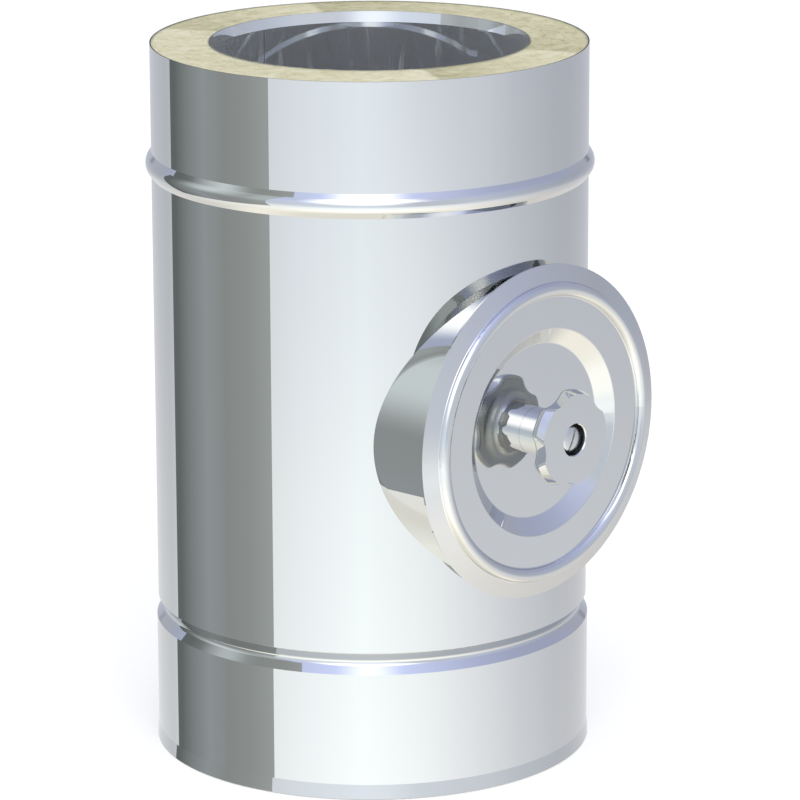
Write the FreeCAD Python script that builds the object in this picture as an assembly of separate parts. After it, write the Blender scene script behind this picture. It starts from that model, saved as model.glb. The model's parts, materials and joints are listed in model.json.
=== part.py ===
import FreeCAD, Part
import math
import os

# One length of insulated twin-wall flue pipe with a round inspection door.
# Z runs up the pipe axis from the centre of the bottom edge, and the door faces -Y.
# All sizes are in millimetres. Distances called "reach" run out along the door axis,
# from the pipe axis.

# Outer casing
CASING_R = 105.0            # outside radius of the plain wall
CASING_SHEET = 0.6
PIPE_LENGTH = 345.6
SOCKET_SLIP = 0.15          # radial play of the bottom socket over the next casing
SOCKET_LENGTH = 61.7        # straight wall of the bottom socket
FLARE_LENGTH = 7.0          # lead-in at the bottom edge
FLARE_RISE = 0.6
PINCH_DEPTH = 3.0           # groove rolled in between the socket and the plain wall
PINCH_ROOT_R = 2.5
PINCH_LOWER_LEAN = 42.0     # degrees that its lower flank leans off the upright
PINCH_UPPER_LEAN = 33.0
BEAD_DROP = 58.1            # centre of the stop bead below the top edge
BEAD_HEIGHT = 2.85
BEAD_HALF = 5.9             # half of the bead's width
BEAD_LEAN = 36.0            # degrees that its flanks lean off the upright

# Inner liner
LINER_R = 75.0              # outside radius, nominal bore 150
LINER_SHEET = 0.6
LINER_SLIP = 0.3            # radial play of the next liner in the top socket
LINER_SOCKET = 55.0         # straight depth of the top socket
LINER_SHOULDER = 3.0
LEAD_IN = 5.2               # flared mouth of the top socket
LEAD_RISE = 0.9
LINER_START = 5.0           # the male end stops short of the casing's bottom edge
TIP_LENGTH = 4.0            # tapered tip of the male end
TIP_TAPER = 0.4
LINER_BEAD_SINK = 4.7       # its stop bead, below the top of the casing's socket
LINER_BEAD_HALF = 3.0
LINER_BEAD_HEIGHT = 1.2

# Mineral wool
WOOL_PLAY = 0.1             # between wool and sheet
WOOL_TOP_DROP = 0.4         # wool below the top edge

# Centring brackets between liner and casing
BRACKET_COUNT = 3
BRACKET_ANGLE = 14.0        # width of one bracket, in degrees round the pipe
BRACKET_FIRST = 83.0        # start of the first one
BRACKET_SHEET = 0.8
BRACKET_INNER_LEG = 6.0
BRACKET_OUTER_LEG = 10.0
BRACKET_PLAY = 0.05

# Door branch
DOOR_Z = 172.7
NECK_R = 74.3               # outside radius of the outer branch
NECK_SHEET = 0.8
NECK_STAND = 3.6            # the branch's edge beyond the casing
COLLAR_INSET = 18.3         # branch on the liner, inside the outer branch
COLLAR_SHEET = 0.6
COLLAR_SINK = 12.6          # sealing face of the collar behind the branch's edge
COLLAR_BEND = 1.5
SEAL_LAND = 8.0             # width of the collar's turned-out face
FACE_RING_SHEET = 0.6
FACE_RING_BEND = 1.5

# Lid
LID_SHEET = 0.8
LID_OVERHANG = 5.7          # past the branch's outside
LID_STAND = 1.6             # free edge of the lid off the branch's edge
LID_SLOPE = 3.0             # from the free edge out to the flat of the lid
LID_BEAD_INSET = 5.65       # middle of the bead, inside the branch's outside
LID_BEAD_HALF = 3.37        # half of the bead's width
LID_BEAD_HEIGHT = 3.0
RECESS_MOUTH_R = 49.8
RECESS_FLOOR_R = 42.0
RECESS_DEPTH = 5.8
LID_BEND = 0.8              # rounding of the pressed corners of the recess
LID_ROOT = 0.5              # rounding where the bead meets the flat
BODY_GAP = 0.3              # left between pieces that move apart

PAN_PLAY = 1.0              # pan of the inner lid inside the collar
PAN_CLEAR = 2.0             # its closed end off the outer nut
PAN_BEND = 2.0
PAN_FLANGE_PLAY = 1.0       # the pan's flange inside the closing ring
INNER_GASKET_EDGE = 0.6     # flange showing round the inner gasket
INNER_GASKET_WIDTH = 4.6
INNER_GASKET_THICK = 3.0
OUTER_GASKET_WIDTH = 4.5
OUTER_GASKET_HEIGHT = 6.75
SPACER_R = 9.0
SPACER_WALL = 2.4
LID_WOOL_EDGE = 0.9         # wool between the lids, inside the pan's flange

# Stud, knob and clamp bar
STUD_R = 6.0
STUD_SINK = 1.4             # its tip behind the knob's face
STUD_CHAMFER = 0.8
STUD_TAIL = 2.8             # thread showing behind the inner nut
SLOT_WIDTH = 1.8
SLOT_DEPTH = 2.6
HOLE_PLAY = 0.5             # radial play of the lid's holes round the stud
THREAD_PLAY = 0.05

KNOB_R = 23.3               # widest part of the lobes
KNOB_FRONT_R = 21.9         # lobes at the front face
KNOB_LOBES = 5
KNOB_FIRST_LOBE = 6.0       # degrees from +X towards +Z
KNOB_VALLEY_R = 20.2
KNOB_SCALLOP_R = 13.0
KNOB_CORNER_R = 4.0
KNOB_PLATE = 7.3
KNOB_FLANK = 3.8            # tapered flank behind the front face
KNOB_BACK_ROUND = 1.8
KNOB_STAND = 19.3           # front face beyond the flat of the lid
KNOB_HOLLOW_R = 5.6         # hollow round from the hub out to the back of the plate
KNOB_HUB_R = 11.3
KNOB_HUB_STEP = 1.0
KNOB_WELL_R = 7.5           # counterbore that shows the end of the stud
KNOB_WELL_DEPTH = 8.0
KNOB_WELL_CHAMFER = 0.5

BAR_LAP = 6.6               # past the opening in the liner, at each end
BAR_WIDTH = 22.0
BAR_THICK = 4.0
BAR_EDGE_R = 0.8
NUT_FLATS = 19.0
NUT_HEIGHT = 10.0
THIN_NUT_HEIGHT = 6.0
NUT_CHAMFER_ANGLE = 30.0
WASHER_R = 12.0
WASHER_THICK = 2.5

# Sizes that follow from the ones above
SOCKET_R = CASING_R + SOCKET_SLIP + CASING_SHEET
CASING_IN_R = CASING_R - CASING_SHEET
BEAD_Z = PIPE_LENGTH - BEAD_DROP
LINER_IN_R = LINER_R - LINER_SHEET
LINER_SOCKET_IN_R = LINER_R + LINER_SLIP
LINER_SOCKET_Z = PIPE_LENGTH - LEAD_IN - LINER_SOCKET
LINER_BEAD_Z = SOCKET_LENGTH - LINER_BEAD_SINK
NECK_IN_R = NECK_R - NECK_SHEET
COLLAR_R = NECK_R - COLLAR_INSET
COLLAR_IN_R = COLLAR_R - COLLAR_SHEET
FACE_RING_R = COLLAR_R + SEAL_LAND
NECK_REACH = CASING_R + NECK_STAND
COLLAR_REACH = NECK_REACH - COLLAR_SINK
LID_EDGE_REACH = NECK_REACH + LID_STAND + LID_SHEET
LID_FACE_REACH = LID_EDGE_REACH + LID_SLOPE
LID_R = NECK_R + LID_OVERHANG
LID_BEAD_R = NECK_R - LID_BEAD_INSET
LID_BEAD_IN_R = LID_BEAD_R - LID_BEAD_HALF
LID_BEAD_OUT_R = LID_BEAD_R + LID_BEAD_HALF
PAN_R = COLLAR_IN_R - PAN_PLAY
PAN_FLANGE_R = FACE_RING_R - FACE_RING_SHEET - PAN_FLANGE_PLAY
INNER_GASKET_OUT_R = PAN_FLANGE_R - INNER_GASKET_EDGE
INNER_GASKET_IN_R = INNER_GASKET_OUT_R - INNER_GASKET_WIDTH
LID_WOOL_R = PAN_FLANGE_R - LID_WOOL_EDGE
RECESS_REACH = LID_FACE_REACH - RECESS_DEPTH
STUD_HOLE_R = STUD_R + HOLE_PLAY
KNOB_REACH = LID_FACE_REACH + KNOB_STAND
KNOB_HUB_REACH = RECESS_REACH + BODY_GAP
STUD_TIP_REACH = KNOB_REACH - STUD_SINK
BAR_LENGTH = 2 * (COLLAR_IN_R + BAR_LAP)
BAR_REACH = math.sqrt(LINER_IN_R ** 2 - (BAR_WIDTH / 2) ** 2) - BODY_GAP
BAR_BACK = BAR_REACH - BAR_THICK
WASHER_BACK = BAR_BACK - WASHER_THICK
NUT_BACK = WASHER_BACK - NUT_HEIGHT
PAN_REACH = BAR_REACH + THIN_NUT_HEIGHT + PAN_CLEAR
THREAD_BORE_R = STUD_R + THREAD_PLAY


def is_arc(step):
    return isinstance(step[0], tuple)


def end_of(step):
    return step[1] if is_arc(step) else step


def way_back(path):
    """The steps that walk a path again from its end to its start."""
    steps = []
    for i in range(len(path) - 1, 0, -1):
        before = end_of(path[i - 1])
        steps.append((path[i][0], before) if is_arc(path[i]) else before)
    return steps


def turned(path, angle=360.0):
    """Solid of revolution about Z from (radius, height) points.

    A step is an end point, or (point on the arc, end point).
    """
    def at(p):
        return FreeCAD.Vector(p[0], 0, p[1])
    edges = []
    here = path[0]
    for step in list(path[1:]) + [path[0]]:
        there = end_of(step)
        if is_arc(step):
            edges.append(Part.Arc(at(here), at(step[0]), at(there)).toShape())
        elif math.dist(here, there) > 1e-6:
            edges.append(Part.makeLine(at(here), at(there)))
        here = there
    face = Part.Face(Part.Wire(edges))
    return face.revolve(FreeCAD.Vector(0, 0, 0), FreeCAD.Vector(0, 0, 1), angle)


def sheet_between(outer, inner):
    """Turned sheet between two paths that run the same way."""
    return turned(outer + [end_of(inner[-1])] + way_back(inner))


def tube(inner_r, outer_r, low, high):
    return turned([(inner_r, low), (outer_r, low), (outer_r, high), (inner_r, high)])


def rod(radius, low, high):
    return Part.makeCylinder(radius, high - low, FreeCAD.Vector(0, 0, low))


def on_door_axis(shape):
    """Lay a shape made about Z onto the door axis, its +Z pointing out of the door."""
    placed = shape.copy()
    placed.rotate(FreeCAD.Vector(0, 0, 0), FreeCAD.Vector(1, 0, 0), 90)
    placed.translate(FreeCAD.Vector(0, 0, DOOR_Z))
    return placed


def through_door(radius, low=0.0):
    """Cutter along the door axis, from the pipe's middle outwards."""
    return on_door_axis(rod(radius, low, KNOB_REACH + LID_R))


def pipe_core(radius):
    return rod(radius, -PIPE_LENGTH, 2 * PIPE_LENGTH)


# Pipe

def lean_point(centre, radius, lean):
    """Point of a round at the place where its surface leans so far, in degrees, off the upright."""
    angle = math.radians(lean)
    return (centre[0] + radius * math.cos(angle), centre[1] + radius * math.sin(angle))


def tan_half(degrees):
    return math.tan(math.radians(degrees) / 2)


def bead_steps(wall_r, inset):
    """Rolled stop bead with straight flanks and a round crest, followed upwards."""
    lean = math.radians(BEAD_LEAN)
    crest_r = (BEAD_HALF * math.tan(lean) - BEAD_HEIGHT) * math.cos(lean) / (1 - math.cos(lean))
    centre = (CASING_R + BEAD_HEIGHT - crest_r, BEAD_Z)
    half = BEAD_HALF - inset * tan_half(BEAD_LEAN)
    return [
        (wall_r, BEAD_Z - half),
        lean_point(centre, crest_r - inset, -BEAD_LEAN),
        (lean_point(centre, crest_r - inset, 0), lean_point(centre, crest_r - inset, BEAD_LEAN)),
        (wall_r, BEAD_Z + half),
    ]


# The groove is laid out from its root: flanks lean away from it to the socket and the wall.
pinch_root = (CASING_R - PINCH_DEPTH + PINCH_ROOT_R, 0.0)
pinch_low = lean_point(pinch_root, -PINCH_ROOT_R, PINCH_LOWER_LEAN)
pinch_high = lean_point(pinch_root, -PINCH_ROOT_R, -PINCH_UPPER_LEAN)
PINCH_Z = (SOCKET_LENGTH - pinch_low[1]
           + (SOCKET_R - pinch_low[0]) / math.tan(math.radians(PINCH_LOWER_LEAN)))
STEP_TOP = (PINCH_Z + pinch_high[1]
            + (CASING_R - pinch_high[0]) / math.tan(math.radians(PINCH_UPPER_LEAN)))


def casing_path(inset):
    wall_r = CASING_R - inset
    socket_r = SOCKET_R - inset
    root = (pinch_root[0], PINCH_Z)
    root_r = -PINCH_ROOT_R - inset
    return [
        (socket_r + FLARE_RISE, 0.0),
        (socket_r, FLARE_LENGTH),
        (socket_r, SOCKET_LENGTH - inset * tan_half(PINCH_LOWER_LEAN)),
        lean_point(root, root_r, PINCH_LOWER_LEAN),
        (lean_point(root, root_r, 0), lean_point(root, root_r, -PINCH_UPPER_LEAN)),
        (wall_r, STEP_TOP + inset * tan_half(PINCH_UPPER_LEAN)),
    ] + bead_steps(wall_r, inset) + [(wall_r, PIPE_LENGTH)]


def liner_path(inset):
    wall_r = LINER_R - inset
    socket_r = LINER_SOCKET_IN_R + LINER_SHEET - inset
    return [
        (wall_r - TIP_TAPER, LINER_START),
        (wall_r, LINER_START + TIP_LENGTH),
        (wall_r, LINER_BEAD_Z - LINER_BEAD_HALF),
        ((wall_r + LINER_BEAD_HEIGHT, LINER_BEAD_Z), (wall_r, LINER_BEAD_Z + LINER_BEAD_HALF)),
        (wall_r, LINER_SOCKET_Z - LINER_SHOULDER),
        (socket_r, LINER_SOCKET_Z),
        (socket_r, PIPE_LENGTH - LEAD_IN),
        (socket_r + LEAD_RISE, PIPE_LENGTH),
    ]


outer_casing = sheet_between(casing_path(0), casing_path(CASING_SHEET))
outer_casing = outer_casing.cut(through_door(NECK_IN_R))

inner_liner = sheet_between(liner_path(0), liner_path(LINER_SHEET))
inner_liner = inner_liner.cut(through_door(COLLAR_IN_R))

# The wool fills the space between the sheets down to the groove above the socket.
wool_low = PINCH_Z + WOOL_PLAY
wool_high = PIPE_LENGTH - WOOL_TOP_DROP
wool_out = CASING_IN_R - WOOL_PLAY
wool_in = LINER_R + WOOL_PLAY
wool_in_socket = LINER_SOCKET_IN_R + LINER_SHEET + WOOL_PLAY
insulation = turned([
    (wool_in, wool_low),
    (wool_out - PINCH_DEPTH, wool_low),
    (wool_out - PINCH_DEPTH, STEP_TOP),
    (wool_out, STEP_TOP + PINCH_DEPTH),
    (wool_out, wool_high),
    (wool_in_socket + LEAD_RISE, wool_high),
    (wool_in_socket, PIPE_LENGTH - LEAD_IN - WOOL_PLAY),
    (wool_in_socket, LINER_SOCKET_Z),
    (wool_in, LINER_SOCKET_Z - LINER_SHOULDER - WOOL_PLAY),
]).cut(through_door(NECK_IN_R))

# Bent strips that keep the liner central and carry the lower edge of the wool.
leg_in = LINER_R + BRACKET_PLAY
leg_out = CASING_IN_R - PINCH_DEPTH - BRACKET_PLAY
bracket = turned([
    (leg_in, PINCH_Z),
    (leg_in, PINCH_Z - BRACKET_INNER_LEG),
    (leg_in + BRACKET_SHEET, PINCH_Z - BRACKET_INNER_LEG),
    (leg_in + BRACKET_SHEET, PINCH_Z - BRACKET_SHEET),
    (leg_out - BRACKET_SHEET, PINCH_Z - BRACKET_SHEET),
    (leg_out - BRACKET_SHEET, PINCH_Z - BRACKET_OUTER_LEG),
    (leg_out, PINCH_Z - BRACKET_OUTER_LEG),
    (leg_out, PINCH_Z),
], BRACKET_ANGLE)
brackets = []
for i in range(BRACKET_COUNT):
    one = bracket.copy()
    one.rotate(FreeCAD.Vector(0, 0, 0), FreeCAD.Vector(0, 0, 1),
               BRACKET_FIRST + i * 360.0 / BRACKET_COUNT)
    brackets.append(one)


# Door branch

# The outer branch stands on the casing, cut to its round.
door_neck = on_door_axis(tube(NECK_IN_R, NECK_R, 0, NECK_REACH)).cut(pipe_core(CASING_R))


def bend_point(centre, radius, degrees):
    angle = math.radians(degrees)
    return (centre[0] + radius * math.cos(angle), centre[1] + radius * math.sin(angle))


# Branch on the liner, turned out into a flat sealing face.
bend = (COLLAR_IN_R + COLLAR_BEND, COLLAR_REACH - COLLAR_BEND)
tight = COLLAR_BEND - COLLAR_SHEET
liner_collar = on_door_axis(turned([
    (COLLAR_IN_R, 0),
    (COLLAR_IN_R, bend[1]),
    (bend_point(bend, COLLAR_BEND, 135), (bend[0], COLLAR_REACH)),
    (FACE_RING_R, COLLAR_REACH),
    (FACE_RING_R, COLLAR_REACH - COLLAR_SHEET),
    (bend[0], COLLAR_REACH - COLLAR_SHEET),
    (bend_point(bend, tight, 135), (COLLAR_R, bend[1])),
    (COLLAR_R, 0),
])).cut(pipe_core(LINER_R))

# Pressed ring that closes the wool space between the collar and the outer branch.
bend = (FACE_RING_R - FACE_RING_SHEET + FACE_RING_BEND, NECK_REACH - FACE_RING_BEND)
tight = FACE_RING_BEND - FACE_RING_SHEET
neck_face_ring = on_door_axis(turned([
    (FACE_RING_R - FACE_RING_SHEET, COLLAR_REACH),
    (FACE_RING_R - FACE_RING_SHEET, bend[1]),
    (bend_point(bend, FACE_RING_BEND, 135), (bend[0], NECK_REACH)),
    (NECK_IN_R, NECK_REACH),
    (NECK_IN_R, NECK_REACH - FACE_RING_SHEET),
    (bend[0], NECK_REACH - FACE_RING_SHEET),
    (bend_point(bend, tight, 135), (FACE_RING_R, bend[1])),
    (FACE_RING_R, COLLAR_REACH),
]))

# Wool behind that ring, stepped round the collar's flange.
neck_insulation = on_door_axis(turned([
    (COLLAR_R + WOOL_PLAY, 0),
    (NECK_IN_R - WOOL_PLAY, 0),
    (NECK_IN_R - WOOL_PLAY, NECK_REACH - FACE_RING_SHEET - WOOL_PLAY),
    (bend[0], NECK_REACH - FACE_RING_SHEET - WOOL_PLAY),
    (FACE_RING_R + WOOL_PLAY, bend[1] - WOOL_PLAY),
    (FACE_RING_R + WOOL_PLAY, COLLAR_REACH - COLLAR_SHEET - WOOL_PLAY),
    (COLLAR_IN_R + COLLAR_BEND, COLLAR_REACH - COLLAR_SHEET - WOOL_PLAY),
    (COLLAR_R + WOOL_PLAY, COLLAR_REACH - COLLAR_BEND),
])).cut(pipe_core(LINER_R + WOOL_PLAY))


# Lid

# Pressed outer lid: sloping rim, half-round bead, flat, and a recess for the knob.
bead_r = (LID_BEAD_HALF ** 2 + LID_BEAD_HEIGHT ** 2) / (2 * LID_BEAD_HEIGHT)
bead_reach = LID_FACE_REACH + LID_BEAD_HEIGHT - bead_r
under = LID_FACE_REACH - LID_SHEET
bead_under_half = math.sqrt((bead_r - LID_SHEET) ** 2 - (under - bead_reach) ** 2)
lid_blank = turned([
    (STUD_HOLE_R, RECESS_REACH),
    (RECESS_FLOOR_R, RECESS_REACH),
    (RECESS_MOUTH_R, LID_FACE_REACH),
    (LID_BEAD_IN_R, LID_FACE_REACH),
    ((LID_BEAD_R, LID_FACE_REACH + LID_BEAD_HEIGHT), (LID_BEAD_OUT_R, LID_FACE_REACH)),
    (LID_R, LID_EDGE_REACH),
    (LID_R, LID_EDGE_REACH - LID_SHEET),
    (LID_BEAD_OUT_R, under),
    (LID_BEAD_R + bead_under_half, under),
    ((LID_BEAD_R, LID_FACE_REACH + LID_BEAD_HEIGHT - LID_SHEET),
     (LID_BEAD_R - bead_under_half, under)),
    (RECESS_MOUTH_R + LID_SHEET / 2, under),
    (RECESS_FLOOR_R + LID_SHEET / 2, RECESS_REACH - LID_SHEET),
    (STUD_HOLE_R, RECESS_REACH - LID_SHEET),
])


def corners_at(shape, radius, height):
    """The circular edges of a turned shape at one radius and height."""
    found = []
    for edge in shape.Edges:
        box = edge.BoundBox
        if box.ZLength < 1e-6 and abs(box.ZMin - height) < 1e-6 and abs(box.XMax - radius) < 1e-6:
            found.append(edge)
    return found


lid_blank = lid_blank.makeFillet(
    LID_BEND, corners_at(lid_blank, RECESS_FLOOR_R, RECESS_REACH)
    + corners_at(lid_blank, RECESS_MOUTH_R, LID_FACE_REACH))
lid_blank = lid_blank.makeFillet(
    LID_ROOT, corners_at(lid_blank, LID_BEAD_IN_R, LID_FACE_REACH)
    + corners_at(lid_blank, LID_BEAD_OUT_R, LID_FACE_REACH))
outer_lid = on_door_axis(lid_blank)

# Sealing ring that sits in the hollow of the lid's bead and lands on the face ring.
gasket_low = NECK_REACH + BODY_GAP
gasket_half = OUTER_GASKET_WIDTH / 2
gasket_shoulder = gasket_low + OUTER_GASKET_HEIGHT - gasket_half
outer_gasket = on_door_axis(turned([
    (LID_BEAD_R - gasket_half, gasket_low),
    (LID_BEAD_R + gasket_half, gasket_low),
    (LID_BEAD_R + gasket_half, gasket_shoulder),
    ((LID_BEAD_R, gasket_shoulder + gasket_half), (LID_BEAD_R - gasket_half, gasket_shoulder)),
]))

# Inner lid: a pan that plugs the collar, with a flange over its sealing face.
inner_gasket_low = COLLAR_REACH + BODY_GAP
flange_low = inner_gasket_low + INNER_GASKET_THICK
flange_high = flange_low + LID_SHEET
pan_inside = PAN_REACH + LID_SHEET
bend = (PAN_R - PAN_BEND, PAN_REACH + PAN_BEND)
inner_lid = on_door_axis(turned([
    (STUD_HOLE_R, PAN_REACH),
    (bend[0], PAN_REACH),
    (bend_point(bend, PAN_BEND, -45), (PAN_R, bend[1])),
    (PAN_R, flange_low),
    (PAN_FLANGE_R, flange_low),
    (PAN_FLANGE_R, flange_high),
    (PAN_R - LID_SHEET, flange_high),
    (PAN_R - LID_SHEET, bend[1]),
    (bend_point(bend, PAN_BEND - LID_SHEET, -45), (bend[0], pan_inside)),
    (STUD_HOLE_R, pan_inside),
]))
inner_gasket = on_door_axis(
    tube(INNER_GASKET_IN_R, INNER_GASKET_OUT_R, inner_gasket_low, flange_low))

# Distance tube that joins the two lids round the stud.
spacer_tube = on_door_axis(
    tube(SPACER_R - SPACER_WALL, SPACER_R, pan_inside, RECESS_REACH - LID_SHEET))

# Wool between the two lids.
lid_insulation = on_door_axis(turned([
    (SPACER_R + WOOL_PLAY, pan_inside + WOOL_PLAY),
    (bend[0] - WOOL_PLAY, pan_inside + WOOL_PLAY),
    (PAN_R - LID_SHEET - WOOL_PLAY, bend[1]),
    (PAN_R - LID_SHEET - WOOL_PLAY, flange_high + WOOL_PLAY),
    (LID_WOOL_R, flange_high + WOOL_PLAY),
    (LID_WOOL_R, under - WOOL_PLAY),
    (RECESS_MOUTH_R + LID_SHEET, under - WOOL_PLAY),
    (RECESS_FLOOR_R + LID_SHEET, RECESS_REACH - LID_SHEET - WOOL_PLAY),
    (SPACER_R + WOOL_PLAY, RECESS_REACH - LID_SHEET - WOOL_PLAY),
]))


# Knob

def star_outline(lobe_r, height):
    """Closed wire of rounded lobes with shallow scallops between them."""
    half = math.pi / KNOB_LOBES
    scallop_at = KNOB_VALLEY_R + KNOB_SCALLOP_R
    corner_at = lobe_r - KNOB_CORNER_R
    apart = KNOB_SCALLOP_R + KNOB_CORNER_R
    corner_turn = half - math.acos((corner_at ** 2 + scallop_at ** 2 - apart ** 2)
                                   / (2 * corner_at * scallop_at))

    def at(radius, turn):
        return FreeCAD.Vector(radius * math.cos(turn), radius * math.sin(turn), height)

    edges = []
    for i in range(KNOB_LOBES):
        lobe = math.radians(KNOB_FIRST_LOBE) + 2 * half * i
        valley = lobe + half
        scallop = at(scallop_at, valley)
        before, after = at(corner_at, lobe + corner_turn), at(corner_at, valley + half - corner_turn)
        meets = [corner + (scallop - corner) * (KNOB_CORNER_R / apart) for corner in (before, after)]
        outwards = (at(1, lobe + corner_turn) + (scallop - before).normalize()
                    - FreeCAD.Vector(0, 0, height)).normalize()
        inwards = (at(1, valley + half - corner_turn) + (scallop - after).normalize()
                   - FreeCAD.Vector(0, 0, height)).normalize()
        for first, middle, last in (
                (at(lobe_r, lobe - corner_turn), at(lobe_r, lobe), at(lobe_r, lobe + corner_turn)),
                (at(lobe_r, lobe + corner_turn), before + outwards * KNOB_CORNER_R, meets[0]),
                (meets[0], at(KNOB_VALLEY_R, valley), meets[1]),
                (meets[1], after + inwards * KNOB_CORNER_R,
                 at(lobe_r, valley + half - corner_turn))):
            edges.append(Part.Arc(first, middle, last).toShape())
    return Part.Wire(edges)


plate_back = KNOB_REACH - KNOB_PLATE
flank_low = KNOB_REACH - KNOB_FLANK
rim = Part.Face(star_outline(KNOB_R, plate_back)).extrude(FreeCAD.Vector(0, 0, flank_low - plate_back))
rim = rim.makeFillet(
    KNOB_BACK_ROUND, [edge for edge in rim.Edges if edge.BoundBox.ZMax < plate_back + 1e-6])
flank = Part.makeLoft(
    [star_outline(KNOB_R, flank_low), star_outline(KNOB_FRONT_R, KNOB_REACH)], True, True)

# The hub stands on the lid, and a hollow round carries it out to the back of the plate.
hollow_low = plate_back - KNOB_HOLLOW_R
hollow_in_r = KNOB_HUB_R + KNOB_HUB_STEP
hollow_r = hollow_in_r + KNOB_HOLLOW_R
knob_body = turned([
    (0, KNOB_HUB_REACH),
    (KNOB_HUB_R, KNOB_HUB_REACH),
    (KNOB_HUB_R, hollow_low),
    (hollow_in_r, hollow_low),
    (bend_point((hollow_r, hollow_low), KNOB_HOLLOW_R, 135), (hollow_r, plate_back)),
    (hollow_r, plate_back + KNOB_BACK_ROUND),
    (0, plate_back + KNOB_BACK_ROUND),
])
knob_bore = turned([
    (0, KNOB_HUB_REACH - 1),
    (THREAD_BORE_R, KNOB_HUB_REACH - 1),
    (THREAD_BORE_R, KNOB_REACH - KNOB_WELL_DEPTH),
    (KNOB_WELL_R, KNOB_REACH - KNOB_WELL_DEPTH),
    (KNOB_WELL_R, KNOB_REACH - KNOB_WELL_CHAMFER),
    (KNOB_WELL_R + 2 * KNOB_WELL_CHAMFER, KNOB_REACH + KNOB_WELL_CHAMFER),
    (0, KNOB_REACH + KNOB_WELL_CHAMFER),
])
star_knob = on_door_axis(rim.fuse([flank, knob_body]).removeSplitter().cut(knob_bore))


# Stud and clamp bar

# The stud's outer end is slotted, so that it can be held while the knob is turned.
stud = turned([
    (0, NUT_BACK - STUD_TAIL),
    (STUD_R - STUD_CHAMFER, NUT_BACK - STUD_TAIL),
    (STUD_R, NUT_BACK - STUD_TAIL + STUD_CHAMFER),
    (STUD_R, STUD_TIP_REACH - STUD_CHAMFER),
    (STUD_R - STUD_CHAMFER, STUD_TIP_REACH),
    (0, STUD_TIP_REACH),
])
slot = Part.makeBox(
    SLOT_WIDTH, 4 * STUD_R, 2 * SLOT_DEPTH,
    FreeCAD.Vector(-SLOT_WIDTH / 2, -2 * STUD_R, STUD_TIP_REACH - SLOT_DEPTH))
stud = on_door_axis(stud.cut(slot))

# Flat bar with round ends, longer than the opening is high, bearing on the liner.
half_straight = (BAR_LENGTH - BAR_WIDTH) / 2
bar = Part.makeBox(BAR_WIDTH, 2 * half_straight, BAR_THICK,
                   FreeCAD.Vector(-BAR_WIDTH / 2, -half_straight, BAR_BACK))
for side in (-1, 1):
    bar = bar.fuse(Part.makeCylinder(BAR_WIDTH / 2, BAR_THICK,
                                     FreeCAD.Vector(0, side * half_straight, BAR_BACK)))
bar = bar.removeSplitter()
rims = [e for e in bar.Edges if e.BoundBox.ZLength < 1e-6]
bar = bar.makeFillet(BAR_EDGE_R, rims)
clamp_bar = on_door_axis(bar.cut(rod(THREAD_BORE_R, BAR_BACK - 1, BAR_REACH + 1)))

washer = on_door_axis(tube(THREAD_BORE_R, WASHER_R, WASHER_BACK, BAR_BACK))


def hex_nut(low, high):
    """Hexagon nut, both faces chamfered at the corners."""
    corner_r = NUT_FLATS / math.sqrt(3)
    corners = [FreeCAD.Vector(corner_r * math.cos(math.radians(60 * i)),
                              corner_r * math.sin(math.radians(60 * i)), low) for i in range(7)]
    prism = Part.Face(Part.makePolygon(corners)).extrude(FreeCAD.Vector(0, 0, high - low))
    fall = (corner_r - NUT_FLATS / 2) * math.tan(math.radians(NUT_CHAMFER_ANGLE))
    blank = turned([
        (THREAD_BORE_R, low), (NUT_FLATS / 2, low), (corner_r, low + fall),
        (corner_r, high - fall), (NUT_FLATS / 2, high), (THREAD_BORE_R, high)])
    return on_door_axis(prism.common(blank))


inner_nut = hex_nut(NUT_BACK, WASHER_BACK)
outer_nut = hex_nut(BAR_REACH, BAR_REACH + THIN_NUT_HEIGHT)


parts = {
    "outer_casing": outer_casing,
    "inner_liner": inner_liner,
    "insulation": insulation,
    "door_neck": door_neck,
    "liner_collar": liner_collar,
    "neck_face_ring": neck_face_ring,
    "neck_insulation": neck_insulation,
    "outer_lid": outer_lid,
    "outer_gasket": outer_gasket,
    "inner_lid": inner_lid,
    "inner_gasket": inner_gasket,
    "spacer_tube": spacer_tube,
    "lid_insulation": lid_insulation,
    "star_knob": star_knob,
    "stud": stud,
    "clamp_bar": clamp_bar,
    "washer": washer,
    "inner_nut": inner_nut,
    "outer_nut": outer_nut,
}
for i, one in enumerate(brackets):
    parts["centring_bracket_%d" % (i + 1)] = one

os.makedirs("parts", exist_ok=True)
for name, shape in parts.items():
    shape.exportStep("parts/" + name + ".step")
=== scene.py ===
import json
import math
import random

import bmesh
import bpy
from mathutils import Matrix, Vector, noise


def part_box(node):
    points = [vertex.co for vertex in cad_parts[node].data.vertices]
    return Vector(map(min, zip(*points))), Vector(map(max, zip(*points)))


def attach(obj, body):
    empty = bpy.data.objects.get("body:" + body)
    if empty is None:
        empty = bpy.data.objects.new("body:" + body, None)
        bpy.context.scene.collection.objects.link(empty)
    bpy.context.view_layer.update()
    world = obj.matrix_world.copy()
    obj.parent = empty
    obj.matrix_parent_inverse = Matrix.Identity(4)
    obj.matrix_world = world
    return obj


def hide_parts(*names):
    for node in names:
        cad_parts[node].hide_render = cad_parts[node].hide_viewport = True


# An insulated flue pipe with a round inspection door, standing in a bright studio.
# Metres, Z up the pipe axis, and the door faces -Y. "Reach" runs out along the door axis.

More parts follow.
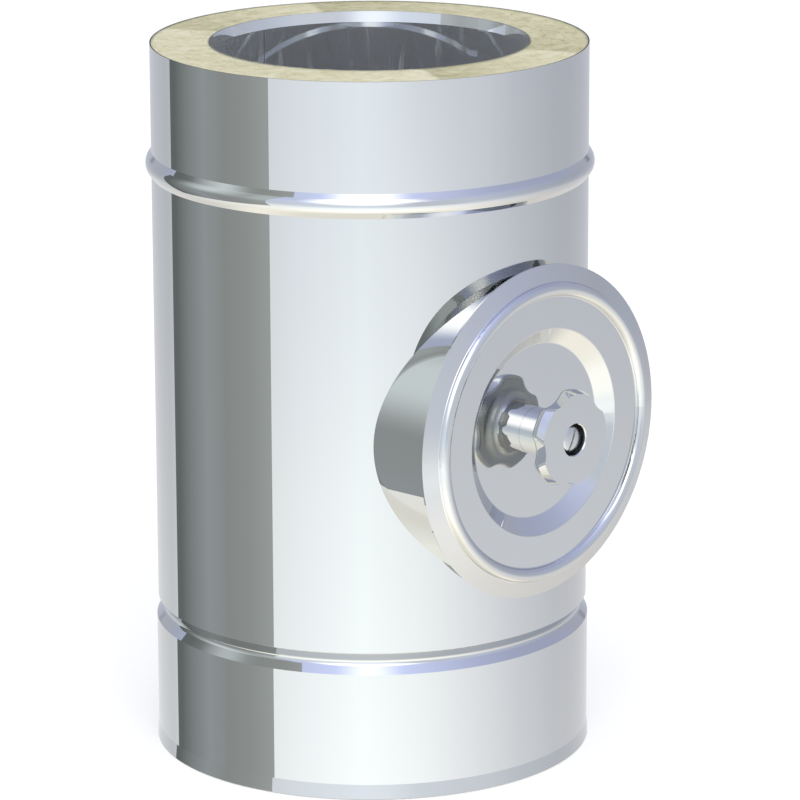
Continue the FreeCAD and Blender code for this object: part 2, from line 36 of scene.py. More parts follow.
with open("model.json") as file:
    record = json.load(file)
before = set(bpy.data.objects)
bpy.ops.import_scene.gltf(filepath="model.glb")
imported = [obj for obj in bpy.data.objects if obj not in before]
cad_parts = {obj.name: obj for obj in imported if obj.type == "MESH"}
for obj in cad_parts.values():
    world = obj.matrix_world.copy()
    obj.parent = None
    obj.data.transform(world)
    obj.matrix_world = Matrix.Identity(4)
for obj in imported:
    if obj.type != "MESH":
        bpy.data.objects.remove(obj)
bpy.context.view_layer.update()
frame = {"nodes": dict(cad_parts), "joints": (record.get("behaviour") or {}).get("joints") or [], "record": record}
node = frame["nodes"]
MM = 0.001


def height_of(name):
    """Lowest and highest point of a piece."""
    low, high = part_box(name)
    return low.z, high.z


def radius_of(name):
    """Half of a round piece's width across the pipe or the door."""
    low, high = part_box(name)
    return (high.x - low.x) / 2


# Sizes of the CAD pieces that the fine work is fitted to
WOOL_LOW, WOOL_HIGH = height_of("insulation")
DOOR_Z = next(joint["pos_m"][2] for joint in frame["joints"] if joint["name"] == "knob_turn")
STUD_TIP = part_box("stud")[0].y
STUD_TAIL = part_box("stud")[1].y
STUD_R = radius_of("stud")
NECK_REACH = -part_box("door_neck")[0].y
NECK_R = radius_of("door_neck")
LID_R = radius_of("outer_lid")
CASING_R = 105.0 * MM                   # plain wall of the casing
LINER_R = 74.4 * MM                     # inside of the liner
LINER_SOCKET_R = 75.3 * MM              # inside of its socket
LID_SHEET = 0.8 * MM
NECK_SHEET = 0.8 * MM
HUB_R = 11.25 * MM                      # the knob's hub
WELL_R = 7.5 * MM                       # and the well in the middle of it

# Wool, cut off at the mouth and resting on the brackets at the socket
WOOL_TOP = (77.1 * MM, 104.0 * MM)      # inner and outer edge at the mouth
WOOL_FOOT = (75.2 * MM, 100.9 * MM)     # and at the socket, where the groove narrows it
WOOL_LOOSE = 0.6 * MM                   # the cut end stands this far up at the mouth
WOOL_PRESSED = 0.3 * MM                 # and this far down on the brackets
WOOL_EDGE = 2.0 * MM                    # it is held down over this width along its edges
WOOL_SKIRT = 2.0 * MM                   # and goes on this far beside the plain block
WOOL_ROWS, WOOL_STEPS = 26, 340         # its mesh, across and round
WOOL_WAVES, WOOL_TUFTS = 70.0, 420.0    # its unevenness, coarse and fine, per metre
FIBRES = 900                            # loose ones on each end
FIBRE_R = 0.05 * MM
FIBRE_SHORT, FIBRE_LONG = 4, 11         # their lengths in millimetres
FIBRE_BENDS = 4
FIBRE_INSET = 1 * MM                    # they start this far inside the wool's edges
FIBRE_REACH = 0.7 * WOOL_EDGE           # and never come nearer to them than this

# Stud, with a rolled thread and a screwdriver slot across its domed tip
THREAD_PITCH = 1.75 * MM
THREAD_DEPTH = 0.95 * MM
THREAD_FORM = ((0.0, 0.0), (0.125, 0.0), (0.5, 1.0), (0.66, 1.0))  # shares of pitch and depth
THREAD_STEPS = 40
SLOT_WIDTH, SLOT_DEPTH = 1.1 * MM, 1.7 * MM
SLOT_TURN = math.radians(24.6)          # the slot stopped this far off the upright
TIP_DOME = 1.0 * MM
TIP_FORM = ((0.0, 0.0), (0.45, 0.10), (0.75, 0.32), (0.92, 0.62), (1.0, 1.0))  # radius, dome
TIP_STEPS = 48

# Rim of the neck under the lid, and the ring under the knob's hub
LID_EDGE_REACH = NECK_REACH + 1.6 * MM  # back of the lid's free edge
LID_FLAT_REACH = NECK_REACH + 4.6 * MM  # back of its flat, where the sloping rim starts
LID_FLAT_R = 72.0 * MM
RIM_PLAY = 0.05 * MM                    # between the neck's rim and the lid
RIM_STEPS = 180
FOOT_PLAY = 0.02 * MM                   # on both sides of the ring under the hub
FOOT_STEPS = 96

# Welds along the rolled tubes
SEAM_WIDTH, SEAM_RISE = 0.7 * MM, 0.03 * MM
SEAM_TURN = math.radians(2.4)           # they lie this far off the middle of the back
SEAMS = (                               # name, slot, finish, radius, lower and upper end
    ("casing_seam", "casing_steel", "casing_steel", CASING_R, 74 * MM, 279 * MM),
    ("casing_rim_seam", "casing_steel", "casing_steel", CASING_R, 295 * MM, 345 * MM),
    ("liner_seam", "liner_steel", "weld_bead", LINER_R, 61 * MM, 281 * MM),
    ("liner_mouth_seam", "liner_steel", "weld_bead", LINER_SOCKET_R, 286 * MM, 340 * MM),
)

PIPE_AXIS, DOOR_AXIS = (0, 0, 1), (0, 1, 0)
SPECK = 0.01 * MM                       # points nearer to each other than this are one
SHARP = math.radians(30)                # edges bent by more than this are drawn sharp

# The camera stands where the photograph was taken from, with a long lens.
CAMERA_PLACE = Vector((-1.5786, -1.5491, 0.7610))
CAMERA_AHEAD = Vector((0.69362, 0.67210, -0.25916))
CAMERA_ROLL = math.radians(-0.19)
CAMERA_LENS, CAMERA_SENSOR = 211.65, 36.0

# The studio, as directions round the pipe in degrees: 0 is +Y and 90 is +X.
WALL_FROM, WALL_TO = -80.5, -6.0        # a dark wall stands between these directions
WALL_HIGH = 59.0
WALL_FOOT = Vector((-0.409, 0.584, 1.0))  # the plane through the pipe and the wall's foot
SOFTBOX_SIDE, SOFTBOX_HEIGHT = -132.0, 36.0
SOFTBOX_WIDE, SOFTBOX_BELOW, SOFTBOX_ABOVE = 42.0, 34.0, 43.0
SOFTBOX_CORE = 0.31                     # the share of its oval that is fully lit
SOFTBOX_LIGHT = 2.3                     # so bright that it is white in a second reflection too
SCREEN_SIDE, SCREEN_WIDE, SCREEN_SOFT = -170.0, 8.0, 22.0
DOORWAY_SIDE, DOORWAY_WIDE, DOORWAY_SOFT = 46.0, 24.0, 8.0
LAMP_PLACE, LAMP_AIM = Vector((-1.1, -1.3, 1.8)), Vector((0, 0, 0.15))
LAMP_WIDE, LAMP_POWER = 1.2, 14.0
FLOOR_R, FLOOR_DROP = 9.0, 0.5 * MM     # the floor lies just below the pipe's edge
FLOOR_GLOW = 0.36                       # what brings it up to white for the camera

# Colours as linear light
WHITE = (1.0, 1.0, 1.0, 1.0)
PLAIN_LIGHT = (0.80, 0.81, 0.84, 1.0)   # the room as dull surfaces see it
FLOOR_GREY = (0.80, 0.80, 0.80, 1.0)
STEEL = (0.67, 0.675, 0.67, 1.0)        # bright stainless
LINER_STEEL = (0.75, 0.765, 0.78, 1.0)
# Painted light on the lid's back, lighter than its front; painted shade on the knob's back
LID_BACK_LIGHT = (0.74, 0.75, 0.74, 1.0)
KNOB_BACK_SHADE = (0.52, 0.53, 0.52, 1.0)
WELL_SHADE = (0.19, 0.195, 0.20, 1.0)   # painted shade in the knob's drilled well
WELD_SHADE = (0.16, 0.165, 0.17, 1.0)   # painted shade, as dark as the shaded inside of the liner


def rgba(red, green, blue):
    """Colour written as it is seen, from 0 to 255, as linear light."""
    def linear(level):
        level /= 255.0
        return level / 12.92 if level <= 0.04045 else ((level + 0.055) / 1.055) ** 2.4
    return (linear(red), linear(green), linear(blue), 1.0)


def mirrored(red, green, blue):
    """The light in the room that the bright sheet mirrors as this colour, from 0 to 255."""
    return tuple(light / metal for light, metal in zip(rgba(red, green, blue), STEEL))


def grey(share):
    """A share from 0 to 1, written as the colour of a ramp."""
    return (share, share, share, 1.0)


# Shader helpers

class Tree:
    """Short names for adding and joining shader nodes."""

    def __init__(self, tree):
        self.tree = tree
        tree.nodes.clear()

    def add(self, kind, **settings):
        new = self.tree.nodes.new(kind)
        for name, value in settings.items():
            setattr(new, name, value)
        return new

    def put(self, socket, value):
        """Join an output to a socket, or set the socket to a plain value."""
        if isinstance(value, bpy.types.NodeSocket):
            self.tree.links.new(value, socket)
        else:
            socket.default_value = value

    def maths(self, operation, *values):
        new = self.add("ShaderNodeMath", operation=operation)
        for socket, value in zip(new.inputs, values):
            self.put(socket, value)
        return new.outputs[0]

    def times(self, *values):
        """All the values multiplied, from the last two to the first."""
        first, *others = values
        return self.maths("MULTIPLY", first, self.times(*others)) if others else first

    def length(self, across, along):
        """The length of the long side over two short ones."""
        return self.maths("SQRT", self.maths("ADD", self.times(across, across),
                                             self.times(along, along)))

    def remap(self, value, from_low, from_high, to_low=0.0, to_high=1.0, smooth=False):
        new = self.add("ShaderNodeMapRange",
                       interpolation_type="SMOOTHSTEP" if smooth else "LINEAR")
        for name, amount in (("Value", value), ("From Min", from_low), ("From Max", from_high),
                             ("To Min", to_low), ("To Max", to_high)):
            self.put(new.inputs[name], amount)
        return new.outputs["Result"]

    def blend(self, share, first, second, kind="MIX"):
        """Two colours in one. A mix node has its colours at 6 and 7, and gives one at 2."""
        new = self.add("ShaderNodeMix", data_type="RGBA", blend_type=kind)
        self.put(new.inputs[0], share)
        self.put(new.inputs[6], first)
        self.put(new.inputs[7], second)
        return new.outputs[2]

    def ramp(self, value, stops):
        new = self.add("ShaderNodeValToRGB")
        points = new.color_ramp.elements
        while len(points) < len(stops):
            points.new(0.5)
        for point, (place, colour) in zip(points, stops):
            point.position = place
            point.color = colour
        self.put(new.inputs[0], value)
        return new.outputs[0]

    def parts(self, vector):
        """The X, Y and Z of a vector."""
        new = self.add("ShaderNodeSeparateXYZ")
        self.put(new.inputs[0], vector)
        return new.outputs

    def noise(self, place, scale, detail=3.0, roughness=0.5):
        new = self.add("ShaderNodeTexNoise")
        self.put(new.inputs["Vector"], place)
        new.inputs["Scale"].default_value = scale
        new.inputs["Detail"].default_value = detail
        new.inputs["Roughness"].default_value = roughness
        return new.outputs["Fac"]

    def stretched_noise(self, place, scales, detail, roughness):
        """Noise with a scale of its own along each axis."""
        new = self.add("ShaderNodeMapping")
        self.put(new.inputs["Vector"], place)
        new.inputs["Scale"].default_value = scales
        return self.noise(new.outputs["Vector"], 1.0, detail, roughness)

    def bump(self, height, distance, strength):
        new = self.add("ShaderNodeBump")
        new.inputs["Strength"].default_value = strength
        new.inputs["Distance"].default_value = distance
        self.put(new.inputs["Height"], height)
        return new.outputs["Normal"]

    def background(self, colour):
        new = self.add("ShaderNodeBackground")
        self.put(new.inputs["Color"], colour)
        return new.outputs[0]

    def mix(self, share, first, second):
        """Two shaders in one."""
        new = self.add("ShaderNodeMixShader")
        for socket, value in zip(new.inputs, (share, first, second)):
            self.put(socket, value)
        return new.outputs[0]

    def show(self, kind, shader):
        """Make a shader the one that the material or the world shows."""
        self.put(self.add(kind).inputs["Surface"], shader)


def material(name):
    """A new material with its shader and the place on the piece, for patterns."""
    new = bpy.data.materials.new(name)
    new.use_nodes = True
    t = Tree(new.node_tree)
    shader = t.add("ShaderNodeBsdfPrincipled")
    t.show("ShaderNodeOutputMaterial", shader.outputs[0])
    place = t.add("ShaderNodeTexCoord").outputs["Object"]
    return new, t, shader, place


# Finishes

def bright_sheet(name, colour, roughness, streak=0.0, haze=0.0, back=None):
    """Bright rolled stainless sheet: a mirror with a faint upright rolling grain.

    Haze is the share of the light that a dull sheet scatters instead of mirroring it. Streak
    is how deep the grain is felt. Back is the added roughness of the unpolished side of the
    lid and knob, the one turned to the pipe, and that side's colour: painted light on the lid,
    lighter than its front, and painted shade on the knob, darker than its front. The well
    round the door's axis is painted dark, as painted shade."""
    new, t, shader, place = material(name)
    grain = t.stretched_noise(place, (260.0, 260.0, 3.0), 4.0, 0.6)
    cloud = t.noise(place, 9.0, 3.0)
    tone = t.remap(t.maths("ADD", grain, cloud), 0.6, 1.4, 0.985, 1.0)
    shader.inputs["Metallic"].default_value = 1.0 - haze
    bright = t.blend(1.0, colour, tone, "MULTIPLY")
    dull = t.remap(grain, 0.3, 0.7, roughness * 0.9, roughness * 1.1)
    if back:
        back_roughness, painted_back_tone = back
        facing = t.parts(t.add("ShaderNodeTexCoord").outputs["Normal"])
        behind = t.remap(facing["Y"], 0.05, 0.15)
        spot = t.parts(place)
        off_axis = t.length(spot["X"], t.maths("SUBTRACT", spot["Z"], DOOR_Z))
        # The well round the door's axis is rougher, and painted dark as painted shade
        well = t.maths("LESS_THAN", off_axis, WELL_R + 0.05 * MM)
        unpolished = t.maths("MAXIMUM", behind, well)
        dull = t.maths("ADD", dull, t.times(unpolished, back_roughness))
        # Painted light on the lid's back, painted shade on the knob's back and in the well
        bright = t.blend(well, t.blend(behind, bright, painted_back_tone), WELL_SHADE)
    t.put(shader.inputs["Base Color"], bright)
    t.put(shader.inputs["Roughness"], dull)
    if streak:
        t.put(shader.inputs["Normal"], t.bump(grain, 0.02 * MM, streak))
    return new


def mineral_wool():
    """Cream wool, laid in strips round the pipe: each strip is paler at one end."""
    new, t, shader, place = material("mineral_wool")
    spot = t.parts(place)
    turn = t.maths("ARCTAN2", spot["Y"], spot["X"])
    strip = t.ramp(t.remap(turn, -math.pi, math.pi), [
        ((degrees + 180.0) / 360.0, grey(share)) for degrees, share in (
            (-180.0, 0.65), (-118.0, 1.0), (-116.8, 0.0), (-66.2, 1.0), (-65.0, 0.1),
            (-20.0, 0.5), (20.0, 0.5), (61.0, 0.0), (62.2, 0.95), (115.8, 0.0),
            (117.0, 0.9), (180.0, 0.65))])
    patches = t.stretched_noise(place, (110.0, 160.0, 110.0), 3.0, 0.55)
    fibre = t.stretched_noise(place, (900.0, 350.0, 600.0), 5.0, 0.6)
    mottled = t.maths("ADD", t.remap(patches, 0.3, 0.7, -0.08, 0.30),
                      t.remap(fibre, 0.3, 0.7, -0.06, 0.06))
    tone = t.maths("ADD", t.times(strip, 0.62), mottled)
    t.put(shader.inputs["Base Color"], t.ramp(tone, [
        (0.0, rgba(188, 184, 150)), (0.45, rgba(214, 209, 178)), (0.95, rgba(234, 231, 205))]))
    shader.inputs["Roughness"].default_value = 0.95
    t.put(shader.inputs["Normal"], t.bump(fibre, 0.4 * MM, 0.4))
    return new


def speckled(name, scale, dark, light, roughness):
    """A dull seal with fine speckles between two shades."""
    new, t, shader, place = material(name)
    t.put(shader.inputs["Base Color"], t.ramp(t.noise(place, scale), [
        (0.3, rgba(*dark)), (0.7, rgba(*light))]))
    shader.inputs["Roughness"].default_value = roughness
    return new


FINISHES = {
    "casing_steel": bright_sheet("casing_steel", STEEL, 0.012),
    "liner_steel": bright_sheet("liner_steel", LINER_STEEL, 0.014, haze=0.13),
    # The lid's back is painted light, and the knob's back is painted shade
    "lid_steel": bright_sheet("lid_steel", STEEL, 0.008, back=(0.05, LID_BACK_LIGHT)),
    "knob_steel": bright_sheet("knob_steel", STEEL, 0.008, back=(0.3, KNOB_BACK_SHADE)),
    "stud_steel": bright_sheet("stud_steel", STEEL, 0.22),
    "clamp_steel": bright_sheet("clamp_steel", STEEL, 0.2, streak=0.1),
    # Painted shade on the liner's welds
    "weld_bead": bright_sheet("weld_bead", WELD_SHADE, 0.3),
    "mineral_wool": mineral_wool(),
    "seal_rubber": speckled("seal_rubber", 400.0, (126, 129, 128), (138, 141, 140), 0.5),
    "woven_seal": speckled("woven_seal", 900.0, (205, 202, 190), (232, 230, 222), 0.9),
}

for part in frame["record"]["subparts"]:
    finishes = node[part["node"]].data.materials
    finishes.clear()
    finishes.append(FINISHES[part["material_slot"]])


# Fine work on the pieces

def new_piece(name, bm, body, slot, finish=None):
    """Turn a finished bmesh into a piece of the object, with the finish of its slot."""
    mesh = bpy.data.meshes.new(name)
    bm.to_mesh(mesh)
    bm.free()
    piece = bpy.data.objects.new(name, mesh)
    bpy.context.scene.collection.objects.link(piece)
    for face in mesh.polygons:
        face.use_smooth = True
    mesh.materials.append(FINISHES[finish or slot])
    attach(piece, body)
    return piece


def chain(bm, places):
    """An open line of edges through the places."""
    verts = [bm.verts.new(place) for place in places]
    edges = [bm.edges.new(pair) for pair in zip(verts, verts[1:])]
    return verts + edges


def revolve(bm, places, axis, steps, centre=(0, 0, 0)):
    """Turn a line through the places once round an axis."""
    bmesh.ops.spin(bm, geom=chain(bm, places), cent=centre, axis=axis, angle=2 * math.pi,
                   steps=steps, use_merge=True)


def cut(bm, place, direction, **side):
    """Cut through everything in a plane, and take one side of it away."""
    bmesh.ops.bisect_plane(bm, geom=bm.verts[:] + bm.edges[:] + bm.faces[:], plane_co=place,
                           plane_no=direction, **side)


def torn_face(name, edges, level, up, loose):
    """The wool's cut end: a soft, uneven face over the plain one."""
    inner, outer = edges
    low = level - up * WOOL_SKIRT
    radii = [inner + (outer - inner) * row / WOOL_ROWS for row in range(WOOL_ROWS + 1)]
    line = [(inner, 0, low)] + [(radius, 0, level) for radius in radii] + [(outer, 0, low)]
    bm = bmesh.new()
    revolve(bm, line, PIPE_AXIS, WOOL_STEPS)
    for vert in bm.verts:
        if abs(vert.co.z - level) < WOOL_SKIRT / 2:
            soft = noise.noise(vert.co * WOOL_WAVES) + 0.5 * noise.noise(vert.co * WOOL_TUFTS)
            radius = vert.co.xy.length
            held = min((radius - inner) / WOOL_EDGE, (outer - radius) / WOOL_EDGE, 1.0)
            vert.co.z += up * loose * (0.5 + 0.33 * soft) * held
    bmesh.ops.recalc_face_normals(bm, faces=bm.faces)
    new_piece(name, bm, "pipe", "mineral_wool")


def loose_fibres(name, edges, level, up, loose, luck):
    """Thin bent fibres that lie on the wool's cut end, mostly round the pipe."""
    inner, outer = edges
    fibres = bpy.data.curves.new(name, "CURVE")
    fibres.dimensions = "3D"
    fibres.bevel_depth = FIBRE_R
    fibres.bevel_resolution = 0
    for _ in range(FIBRES):
        radius = luck.uniform(inner + FIBRE_INSET, outer - FIBRE_INSET)
        turn = luck.uniform(0, 2 * math.pi)
        way = turn + math.pi / 2 + luck.gauss(0, 0.5)
        length = luck.uniform(FIBRE_SHORT, FIBRE_LONG) * MM
        spot = Vector((radius * math.cos(turn), radius * math.sin(turn),
                       level + up * loose * 0.7))
        line = fibres.splines.new("POLY")
        line.points.add(FIBRE_BENDS)
        for point in line.points:
            point.co = (*spot, 1.0)
            way += luck.gauss(0, 0.35)
            spot += Vector((math.cos(way), math.sin(way), 0)) * length / FIBRE_BENDS
            reach = min(max(spot.xy.length, inner + FIBRE_REACH), outer - FIBRE_REACH)
            spot.xy = spot.xy.normalized() * reach
            spot.z = level + up * loose * luck.uniform(0.5, 1.5)
    strands = bpy.data.objects.new(name, fibres)
    bpy.context.scene.collection.objects.link(strands)
    fibres.materials.append(FINISHES["mineral_wool"])
    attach(strands, "pipe")


def wool_ends():
    """The torn wool at the mouth of the pipe, and under the block at its socket."""
    luck = random.Random(7)
    for name, *end in (("wool_top", WOOL_TOP, WOOL_HIGH, 1, WOOL_LOOSE),
                       ("wool_underside", WOOL_FOOT, WOOL_LOW, -1, WOOL_PRESSED)):
        torn_face(name, *end)
        loose_fibres(name + "_fibres", *end, luck)


def door_ring(name, body, slot, section, steps):
    """A ring round the door's axis, from the corners of its section as (radius, reach)."""
    bm = bmesh.new()
    corners = [*section, section[0]]
    revolve(bm, [(radius, -reach, 0) for radius, reach in corners], DOOR_AXIS, steps)
    bmesh.ops.remove_doubles(bm, verts=bm.verts, dist=SPECK)
    bmesh.ops.recalc_face_normals(bm, faces=bm.faces)
    bmesh.ops.translate(bm, verts=bm.verts, vec=(0, 0, DOOR_Z))
    piece = new_piece(name, bm, body, slot)
    piece.data.set_sharp_from_angle(angle=SHARP)


def neck_rim():
    """The last of the neck's sheet, which reaches in under the lid's sloping rim."""
    slope = (LID_FLAT_REACH - LID_EDGE_REACH) / (LID_R - LID_FLAT_R)

    def below_lid(radius):
        return LID_FLAT_REACH - slope * (radius - LID_FLAT_R) - RIM_PLAY

    inner = NECK_R - NECK_SHEET
    door_ring("neck_rim", "pipe", "casing_steel", [
        (inner, NECK_REACH), (NECK_R, NECK_REACH),
        (NECK_R, below_lid(NECK_R)), (inner, below_lid(inner))], RIM_STEPS)


def knob_foot():
    """The thin ring on which the knob's hub slides while it is tightened on the lid."""
    low = -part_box("spacer_tube")[0].y + LID_SHEET + FOOT_PLAY
    high = -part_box("star_knob")[1].y - FOOT_PLAY
    door_ring("knob_foot", "knob", "knob_steel", [
        (WELL_R, high), (HUB_R, high), (HUB_R, low), (WELL_R, low)], FOOT_STEPS)


def thread(low, high):
    """The stud's threaded length: its form wound up the axis and cut off flat at both ends."""
    bm = bmesh.new()
    line = []
    for turn in range(math.ceil((high - low) / THREAD_PITCH) + 3):
        start = low - 2 * THREAD_PITCH + turn * THREAD_PITCH
        for share, depth in THREAD_FORM:
            line.append((STUD_R - depth * THREAD_DEPTH, start + share * THREAD_PITCH, DOOR_Z))
    bmesh.ops.spin(bm, geom=chain(bm, line), cent=(0, 0, DOOR_Z), axis=DOOR_AXIS,
                   angle=2 * math.pi, dvec=(0, THREAD_PITCH / THREAD_STEPS, 0),
                   steps=THREAD_STEPS)
    bmesh.ops.remove_doubles(bm, verts=bm.verts, dist=SPECK)
    for place, outwards in ((low, -1), (high, 1)):
        cut(bm, (0, place, 0), (0, outwards, 0), clear_outer=True)
        rim = [edge for edge in bm.edges if edge.is_boundary
               and all(abs(vert.co.y - place) < SPECK for vert in edge.verts)]
        bmesh.ops.contextual_create(bm, geom=rim)
    bmesh.ops.recalc_face_normals(bm, faces=bm.faces)
    return bm


def cheek(low, side):
    """One half of the stud's domed tip, on a side of the slot."""
    bm = bmesh.new()
    line = [(share * STUD_R, STUD_TIP + sink * TIP_DOME, DOOR_Z) for share, sink in TIP_FORM]
    line += [(STUD_R, low, DOOR_Z), (0, low, DOOR_Z)]
    revolve(bm, line, DOOR_AXIS, TIP_STEPS, centre=(0, 0, DOOR_Z))
    bmesh.ops.remove_doubles(bm, verts=bm.verts, dist=SPECK)
    across = Vector((math.cos(SLOT_TURN), 0, -math.sin(SLOT_TURN))) * side
    middle = Vector((0, STUD_TIP, DOOR_Z))
    cut(bm, middle + across * SLOT_WIDTH / 2, across, clear_inner=True)
    bmesh.ops.holes_fill(bm, edges=[edge for edge in bm.edges if edge.is_boundary])
    bmesh.ops.recalc_face_normals(bm, faces=bm.faces)
    return bm


def threaded_stud():
    """The stud with its real thread, and a screwdriver slot in its tip."""
    low = STUD_TIP + SLOT_DEPTH
    bm = thread(low, STUD_TAIL)
    for side in (-1, 1):
        half = cheek(low, side)
        carried = bpy.data.meshes.new("cheek")
        half.to_mesh(carried)
        half.free()
        bm.from_mesh(carried)
        bpy.data.meshes.remove(carried)
    piece = new_piece("threaded_stud", bm, "clamp", "stud_steel")
    piece.data.set_sharp_from_angle(angle=SHARP)
    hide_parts("stud")


def seam(name, slot, finish, radius, low, high):
    """The butt weld along a rolled tube, rolled almost flat."""
    bm = bmesh.new()
    bmesh.ops.create_cube(bm, size=1.0)
    bmesh.ops.scale(bm, verts=bm.verts, vec=(SEAM_WIDTH, 4 * SEAM_RISE, high - low))
    upright = [edge for edge in bm.edges
               if abs(edge.verts[0].co.z - edge.verts[1].co.z) > SEAM_WIDTH]
    bmesh.ops.bevel(bm, geom=upright, offset=SEAM_RISE, offset_type="OFFSET", segments=2,
                    profile=0.5, affect="EDGES", material=-1)
    bmesh.ops.translate(bm, verts=bm.verts, vec=(0, radius, (low + high) / 2))
    bmesh.ops.rotate(bm, verts=bm.verts, cent=(0, 0, 0),
                     matrix=Matrix.Rotation(-SEAM_TURN, 3, "Z"))
    new_piece(name, bm, "pipe", slot, finish)


neck_rim()
knob_foot()
wool_ends()
threaded_stud()
for weld in SEAMS:
    seam(*weld)


# Studio

class Room(Tree):
    """The studio as the metal mirrors it, coloured by side and height in degrees."""

    def __init__(self, tree):
        super().__init__(tree)
        self.way = self.add("ShaderNodeTexCoord").outputs["Generated"]
        ahead = self.parts(self.way)
        self.side = self.times(self.maths("ARCTAN2", ahead["X"], ahead["Y"]), 180.0 / math.pi)
        self.height = self.times(self.maths("ARCSINE", ahead["Z"]), 180.0 / math.pi)

    def off_side(self, centre):
        """Degrees from a side of the room, either way round."""
        apart = self.maths("SUBTRACT", self.side, centre)
        return self.maths("ABSOLUTE", self.maths("WRAP", apart, 180.0, -180.0))

    def by_side(self, stops):
        """A ramp by direction round the pipe."""
        return self.ramp(self.remap(self.side, -180.0, 180.0),
                         [((angle + 180.0) / 360.0, colour) for angle, colour in stops])

    def by_height(self, stops):
        """A ramp from straight down to straight up."""
        return self.ramp(self.remap(self.height, -90.0, 90.0),
                         [((angle + 90.0) / 180.0, colour) for angle, colour in stops])

    def between(self, foot, top):
        """1 between two heights. Each is given as where it starts and where 1 is reached."""
        return self.times(self.remap(self.height, *foot, smooth=True),
                          self.remap(self.height, *top, smooth=True))

    def patch(self, centre, wide, soft, foot, top):
        """1 on an upright patch with soft edges, 0 round it."""
        near = self.remap(self.off_side(centre), wide, wide + soft, 1.0, 0.0, smooth=True)
        return self.times(near, self.between(foot, top))

    def walls(self):
        """The walls: brightest in front, falling off to the sides and towards the back."""
        return self.by_side([(angle, mirrored(*colour)) for angle, colour in (
            (-180.0, (224, 228, 230)), (-157.0, (236, 242, 242)), (-130.0, (244, 251, 251)),
            (-97.0, (233, 239, 240)), (-82.0, (226, 231, 231)), (-6.0, (192, 197, 198)),
            (0.0, (188, 191, 193)), (27.0, (193, 195, 197)), (97.0, (184, 186, 190)),
            (112.0, (185, 189, 193)), (142.0, (199, 203, 207)), (180.0, (224, 228, 230)))])

    def floor_to_ceiling(self, colour):
        """Up from the cream floor, past the grey horizon, to the cooler ceiling."""
        rise = self.by_height([(angle, (*share, 1.0)) for angle, share in (
            (-44.0, (1.25, 1.18, 1.08)), (-32.0, (1.18, 1.13, 1.07)),
            (-24.0, (1.04, 1.04, 1.03)), (-20.0, (1.075, 1.07, 1.065)),
            (-16.2, (0.975, 0.975, 0.98)), (-14.4, (0.893, 0.895, 0.92)),
            (-12.0, (0.835, 0.84, 0.88)), (-4.0, (0.72, 0.76, 0.85)),
            (6.0, (0.69, 0.71, 0.79)), (14.0, (0.69, 0.71, 0.81)),
            (22.0, (0.68, 0.72, 0.91)), (42.0, (0.64, 0.67, 0.88)),
            (66.0, (0.72, 0.76, 1.08)))])
        colour = self.blend(1.0, colour, rise, "MULTIPLY")
        for start, full, plain in ((-48.0, -62.0, (242, 238, 225)),
                                   (-58.0, -74.0, (222, 219, 208)),
                                   (66.0, 84.0, (158, 165, 198))):
            share = self.remap(self.height, start, full, smooth=True)
            colour = self.blend(share, colour, mirrored(*plain))
        return colour

    def dark_wall(self, colour):
        """A dark wall, lighter away from its far end, with a soft lamp on the middle of it."""
        foot = self.add("ShaderNodeVectorMath", operation="DOT_PRODUCT")
        self.put(foot.inputs[0], self.way)
        foot.inputs[1].default_value = WALL_FOOT
        inside = self.times(
            self.maths("GREATER_THAN", self.side, WALL_FROM),
            self.maths("LESS_THAN", self.side, WALL_TO),
            self.maths("GREATER_THAN", foot.outputs["Value"], 0.0),
            self.maths("LESS_THAN", self.height, WALL_HIGH))
        wall = self.by_side([(angle, mirrored(*paint)) for angle, paint in (
            (-79.0, (149, 154, 153)), (-67.0, (138, 143, 141)), (-52.0, (132, 136, 135)),
            (-37.0, (139, 145, 147)), (-23.0, (120, 125, 125)), (-11.0, (93, 98, 99)))])
        lamp = self.by_side([(angle, grey(share)) for angle, share in (
            (-80.0, 0.5), (-74.0, 0.5), (-64.0, 0.25), (-44.0, 1.0), (-38.0, 1.0),
            (-18.0, 0.0))])
        lamp = self.times(lamp, self.between((-6.0, 20.0), (48.0, 38.0)))
        return self.blend(inside, colour, self.blend(lamp, wall, mirrored(193, 202, 203)))

    def softbox(self, colour):
        """A softbox over the camera: an oval that is taller above its middle than below."""
        across = self.maths("DIVIDE", self.off_side(SOFTBOX_SIDE), SOFTBOX_WIDE)
        below = self.maths("SUBTRACT", SOFTBOX_HEIGHT, self.height)
        above = self.maths("SUBTRACT", self.height, SOFTBOX_HEIGHT)
        along = self.maths("MAXIMUM", self.maths("DIVIDE", below, SOFTBOX_BELOW),
                           self.maths("DIVIDE", above, SOFTBOX_ABOVE))
        lit = self.remap(self.length(across, along), SOFTBOX_CORE, 1.0, 1.0, 0.0, smooth=True)
        return self.blend(lit, colour, (SOFTBOX_LIGHT, SOFTBOX_LIGHT, SOFTBOX_LIGHT, 1.0))

    def screen(self, colour):
        """A low grey screen to the right of the camera."""
        share = self.patch(SCREEN_SIDE, SCREEN_WIDE, SCREEN_SOFT, (-14.0, -5.0), (32.0, 24.0))
        return self.blend(share, colour, mirrored(187, 193, 201))

    def doorway(self, colour):
        """The dark doorway behind, which only the upward edges mirror."""
        share = self.patch(DOORWAY_SIDE, DOORWAY_WIDE, DOORWAY_SOFT, (2.0, 7.0), (26.0, 21.0))
        return self.blend(share, colour, mirrored(84, 88, 92))


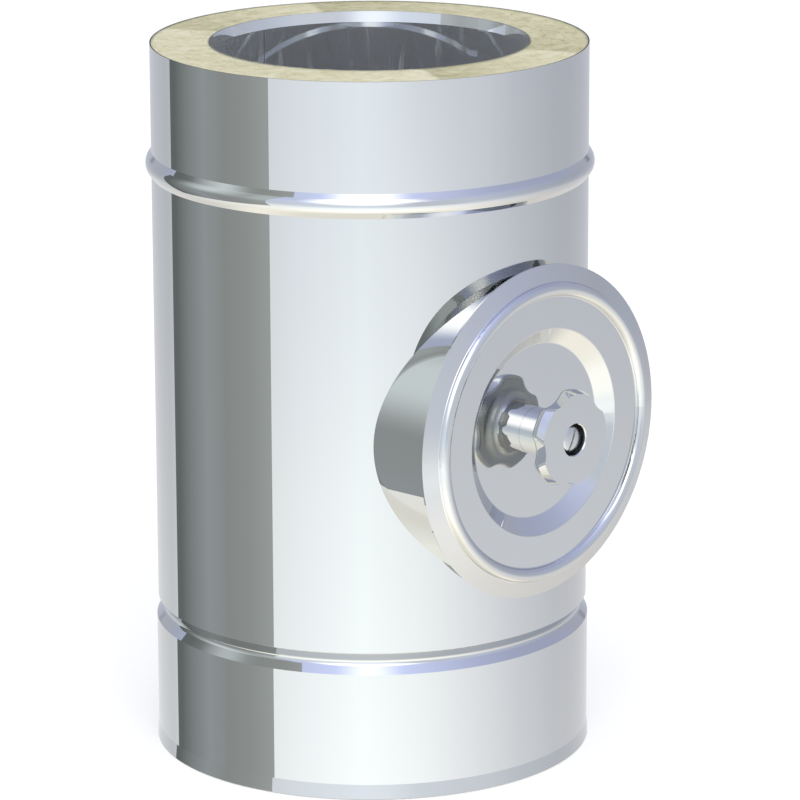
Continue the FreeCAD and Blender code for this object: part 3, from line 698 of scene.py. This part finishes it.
def studio_light():
    """The room for what mirrors it, plain light for what doesn't, and white for the camera."""
    world = bpy.data.worlds.new("studio")
    bpy.context.scene.world = world
    world.use_nodes = True
    room = Room(world.node_tree)
    colour = room.walls()
    for add_to in (room.floor_to_ceiling, room.dark_wall, room.softbox, room.screen,
                   room.doorway):
        colour = add_to(colour)
    ray = room.add("ShaderNodeLightPath").outputs
    shiny = room.maths("MAXIMUM", ray["Is Glossy Ray"], ray["Is Transmission Ray"])
    light = room.mix(shiny, room.background(PLAIN_LIGHT), room.background(colour))
    room.show("ShaderNodeOutputWorld",
              room.mix(ray["Is Camera Ray"], light, room.background(WHITE)))


def pale_floor():
    """A round floor that is white to the camera, catches the shadow and isn't mirrored."""
    mesh = bpy.data.meshes.new("floor")
    bm = bmesh.new()
    bmesh.ops.create_circle(bm, cap_ends=True, segments=64, radius=FLOOR_R)
    bmesh.ops.translate(bm, verts=bm.verts, vec=(0, 0, -FLOOR_DROP))
    bm.to_mesh(mesh)
    bm.free()
    floor = bpy.data.objects.new("floor", mesh)
    bpy.context.scene.collection.objects.link(floor)
    new = bpy.data.materials.new("pale_floor")
    new.use_nodes = True
    t = Tree(new.node_tree)
    matte = t.add("ShaderNodeBsdfDiffuse")
    matte.inputs["Color"].default_value = FLOOR_GREY
    glow = t.add("ShaderNodeEmission")
    ray = t.add("ShaderNodeLightPath").outputs
    t.put(glow.inputs["Strength"], t.times(ray["Is Camera Ray"], FLOOR_GLOW))
    both = t.add("ShaderNodeAddShader")
    t.put(both.inputs[0], matte.outputs[0])
    t.put(both.inputs[1], glow.outputs[0])
    # It is clear from below, for views of the pipe's lower end.
    below = t.add("ShaderNodeNewGeometry").outputs["Backfacing"]
    clear = t.add("ShaderNodeBsdfTransparent")
    t.show("ShaderNodeOutputMaterial", t.mix(below, both.outputs[0], clear.outputs[0]))
    mesh.materials.append(new)
    floor.visible_glossy = False


def key_lamp():
    """A round lamp over the camera, which the metal doesn't mirror."""
    lamp = bpy.data.lights.new("key_lamp", "AREA")
    lamp.shape = "DISK"
    lamp.size = LAMP_WIDE
    lamp.energy = LAMP_POWER
    held = bpy.data.objects.new("key_lamp", lamp)
    held.location = LAMP_PLACE
    held.rotation_euler = (LAMP_AIM - LAMP_PLACE).to_track_quat("-Z", "Y").to_euler()
    held.visible_glossy = False
    bpy.context.scene.collection.objects.link(held)


def place_camera():
    data = bpy.data.cameras.new("camera")
    data.lens = CAMERA_LENS
    data.sensor_width = CAMERA_SENSOR
    data.clip_end = 100.0
    camera = bpy.data.objects.new("camera", data)
    level = CAMERA_AHEAD.to_track_quat("-Z", "Y").to_matrix()
    turn = level @ Matrix.Rotation(CAMERA_ROLL, 3, "Z")
    camera.matrix_world = Matrix.Translation(CAMERA_PLACE) @ turn.to_4x4()
    bpy.context.scene.collection.objects.link(camera)
    bpy.context.scene.camera = camera


studio_light()
pale_floor()
key_lamp()
place_camera()
bpy.context.scene.view_settings.view_transform = "Standard"
# The sheet mirrors itself many times over inside the liner and behind the lid.
bpy.context.scene.cycles.max_bounces = 24
bpy.context.scene.cycles.glossy_bounces = 20
